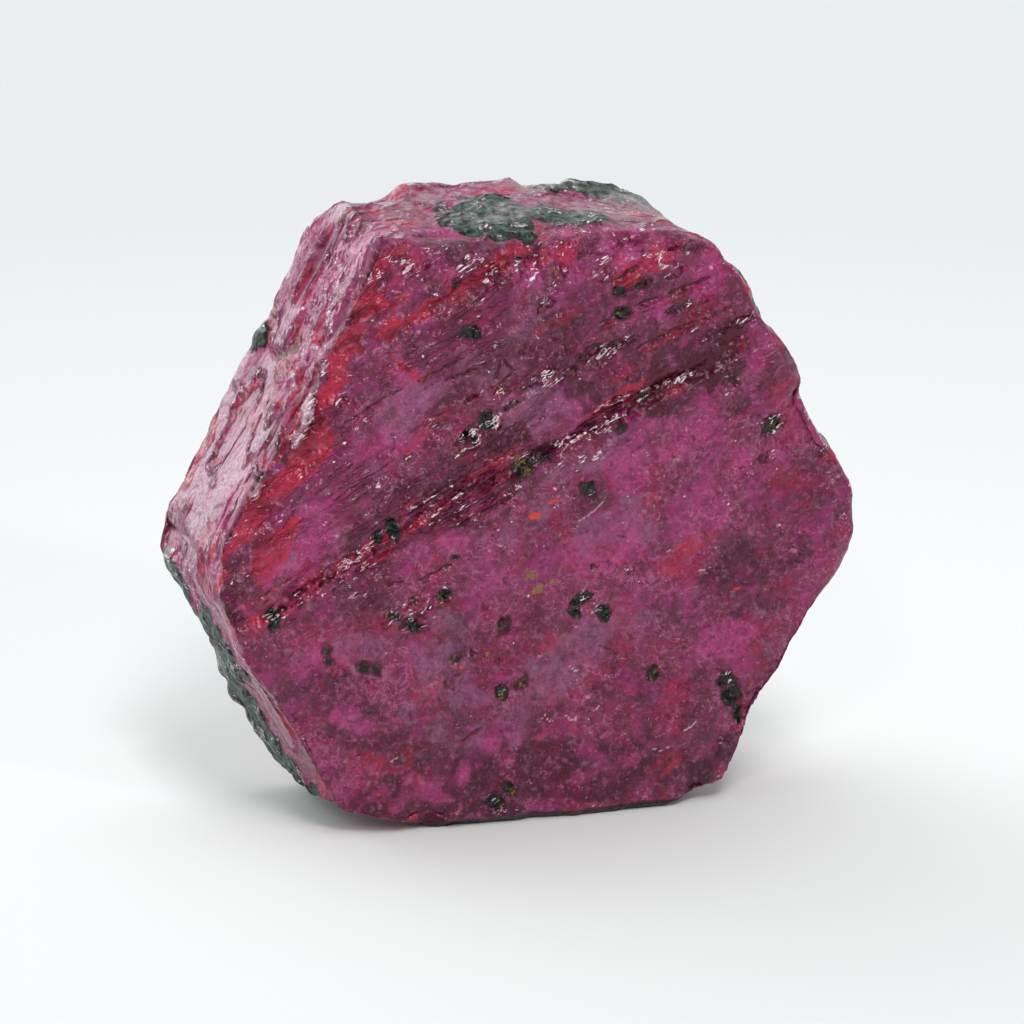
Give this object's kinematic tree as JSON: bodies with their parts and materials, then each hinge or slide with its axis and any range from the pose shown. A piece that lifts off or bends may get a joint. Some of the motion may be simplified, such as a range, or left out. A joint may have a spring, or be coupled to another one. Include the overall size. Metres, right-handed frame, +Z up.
{
  "type": "raw ruby crystal",
  "caption": "Rough tabular hexagonal ruby crystal standing on a prism face, with growth ledges, grooves and dark matrix crust.",
  "frame": {"origin": "bottom centre of the bounding box, on the surface that the crystal stands on", "axes": "+Z up, +X across the big basal face to its right edge, +Y away from the basal face through the crystal"},
  "size_m": [0.0364, 0.0126, 0.0338],
  "materials": {
    "raw_ruby": "waxy, slightly glossy natural faces"
  },
  "bodies": {
    "root": {"ruby_crystal": "raw_ruby"}
  },
  "joints": []
}
